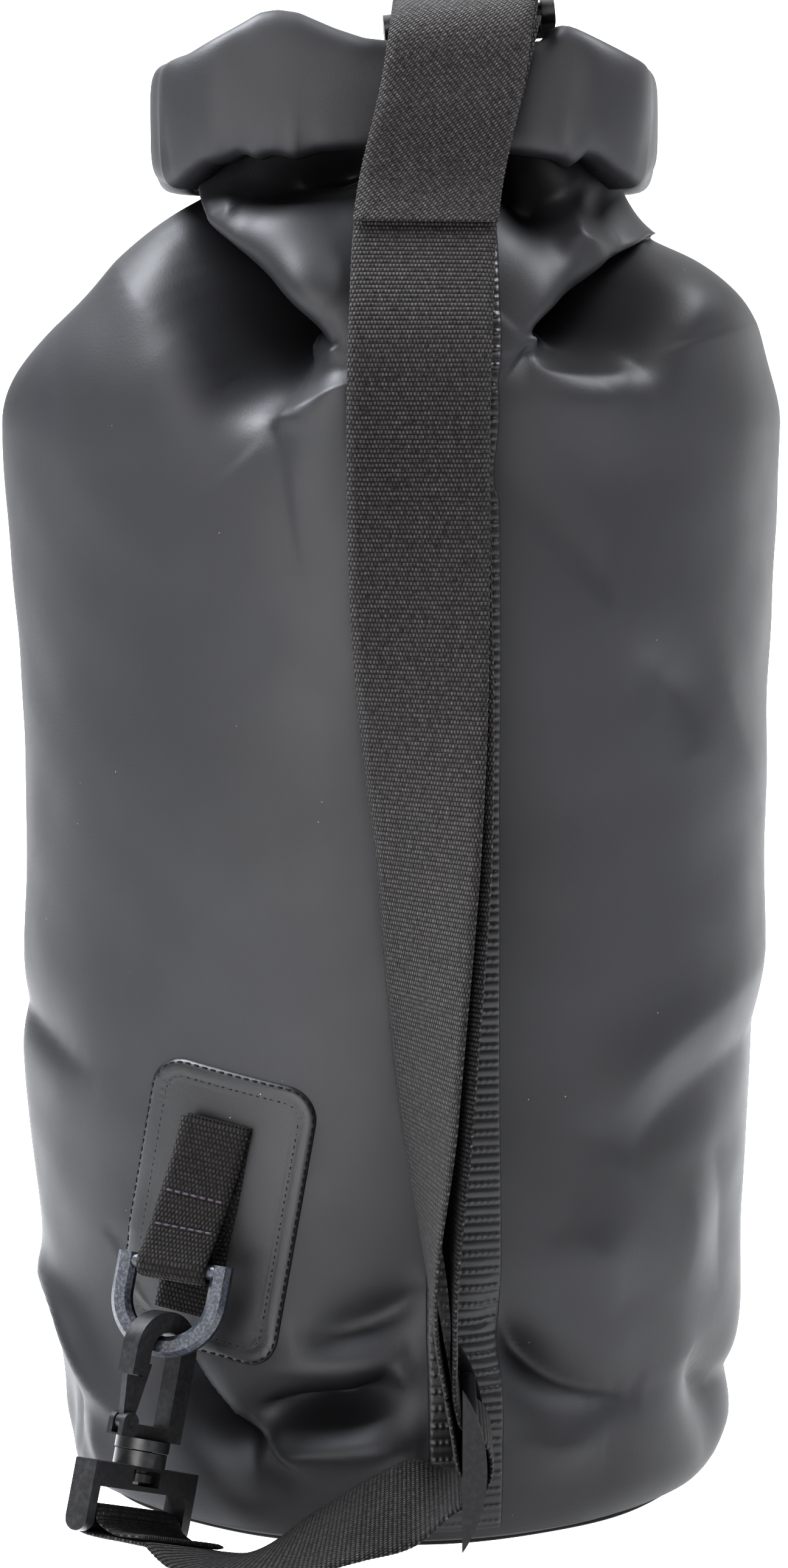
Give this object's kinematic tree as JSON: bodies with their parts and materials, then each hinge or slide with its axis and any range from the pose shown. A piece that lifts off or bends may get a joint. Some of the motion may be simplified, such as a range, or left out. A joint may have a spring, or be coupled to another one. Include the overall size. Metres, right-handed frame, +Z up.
{
  "type": "dry bag",
  "caption": "Roll-top dry bag of coated tarpaulin with a welded back seam, a side-release closure and a clip-on webbing shoulder strap on swivel snap hooks.",
  "frame": {"origin": "centre of the base panel's underside, where the bag stands", "axes": "+Z up along the tube, -Y out of the back that carries the strap and the welded seam, +X to the right seen from that side"},
  "size_m": [0.2212, 0.2481, 0.4239],
  "materials": {
    "tarpaulin": "matte coated tarpaulin",
    "strap_webbing": "ribbed woven webbing",
    "tab_web": "woven webbing with stitching",
    "hook_plastic": "satin moulded plastic",
    "ring_plastic": "finely grained moulded plastic",
    "strip_plastic": "plain strip"
  },
  "bodies": {
    "bag": {"body_tube": "tarpaulin", "rolled_top": "tarpaulin", "mouth_stiffener": "strip_plastic", "base_panel": "tarpaulin", "back_seam_strip": "tarpaulin", "reinforcement_patch": "tarpaulin", "tab_webbing": "tab_web", "strap_lower_run": "strap_webbing", "strap_front_run": "strap_webbing", "strap_rear_run": "strap_webbing", "upper_tab_webbing": "tab_web", "buckle_webbing_right": "tab_web", "buckle_webbing_left": "tab_web", "buckle_socket": "hook_plastic", "buckle_plug": "hook_plastic"},
    "lower_ring": {"lower_d_ring": "ring_plastic"},
    "lower_swivel": {"lower_swivel_base": "hook_plastic", "strap_end_loop": "strap_webbing"},
    "lower_hook": {"lower_hook_body": "hook_plastic"},
    "lower_gate": {"lower_hook_gate": "hook_plastic"},
    "upper_ring": {"upper_d_ring": "ring_plastic"},
    "upper_swivel": {"upper_swivel_base": "hook_plastic", "strap_top_loop": "strap_webbing"},
    "upper_hook": {"upper_hook_body": "hook_plastic"},
    "upper_gate": {"upper_hook_gate": "hook_plastic"},
    "strap_slider": {"slider": "hook_plastic", "slider_loop": "strap_webbing"},
    "prong_upper": {"buckle_prong_upper": "hook_plastic"},
    "prong_lower": {"buckle_prong_lower": "hook_plastic"}
  },
  "joints": [
    {"name": "lower_hook_swing", "type": "hinge", "parent": "bag", "child": "lower_swivel", "pos_m": [-0.0594, -0.09444, 0.08], "axis": [-0.9374, 0.3412, 0.0698], "range_deg": [-5, 35], "deforming": ["strap_lower_run"]},
    {"name": "lower_ring_swing", "type": "hinge", "parent": "bag", "child": "lower_ring", "pos_m": [-0.0594, -0.09444, 0.08], "axis": [-0.9374, 0.3412, 0.0698], "range_deg": [-5, 35]},
    {"name": "lower_hook_turn", "type": "hinge", "parent": "lower_swivel", "child": "lower_hook", "pos_m": [-0.0594, -0.09444, 0.08], "axis": [0.1733, 0.2834, 0.9432], "range_deg": [-2, 52]},
    {"name": "lower_gate_open", "type": "hinge", "parent": "lower_hook", "child": "lower_gate", "pos_m": [-0.07248, -0.11226, 0.04196], "axis": [-0.7219, 0.688, -0.074], "range_deg": [0, 15], "stiffness_Nm_per_rad": 0.05},
    {"name": "upper_hook_swing", "type": "hinge", "parent": "bag", "child": "upper_swivel", "pos_m": [0.0205, 0.024, 0.4025], "axis": [-1, 0, 0], "range_deg": [0, 14], "deforming": ["strap_front_run", "strap_rear_run"]},
    {"name": "upper_ring_swing", "type": "hinge", "parent": "bag", "child": "upper_ring", "pos_m": [0.0205, 0.024, 0.4025], "axis": [-1, 0, 0], "range_deg": [0, 14]},
    {"name": "upper_hook_turn", "type": "hinge", "parent": "upper_swivel", "child": "upper_hook", "pos_m": [0.0205, 0.024, 0.4025], "axis": [0, 0.9816, -0.1908], "range_deg": [-27, 27]},
    {"name": "upper_gate_open", "type": "hinge", "parent": "upper_hook", "child": "upper_gate", "pos_m": [0.0205, -0.01681, 0.41894], "axis": [-1, 0, 0], "range_deg": [0, 15], "stiffness_Nm_per_rad": 0.05},
    {"name": "slider_slide", "type": "slide", "parent": "bag", "child": "strap_slider", "axis": [0, 0, 1], "range_m": [0, 0.04], "deforming": ["strap_front_run", "strap_rear_run", "strap_lower_run"]},
    {"name": "prong_upper_press", "type": "hinge", "parent": "bag", "child": "prong_upper", "pos_m": [0.0014, 0.059, 0.3965], "axis": [0, 1, 0], "range_deg": [0, 6], "stiffness_Nm_per_rad": 0.3},
    {"name": "prong_lower_press", "type": "hinge", "parent": "bag", "child": "prong_lower", "pos_m": [0.0014, 0.059, 0.3795], "axis": [0, -1, 0], "range_deg": [0, 6], "stiffness_Nm_per_rad": 0.3}
  ],
  "couplings": [
    {"joint": "lower_ring_swing", "follows": "lower_hook_swing", "ratio": 1},
    {"joint": "upper_ring_swing", "follows": "upper_hook_swing", "ratio": 1},
    {"joint": "prong_lower_press", "follows": "prong_upper_press", "ratio": 1}
  ]
}
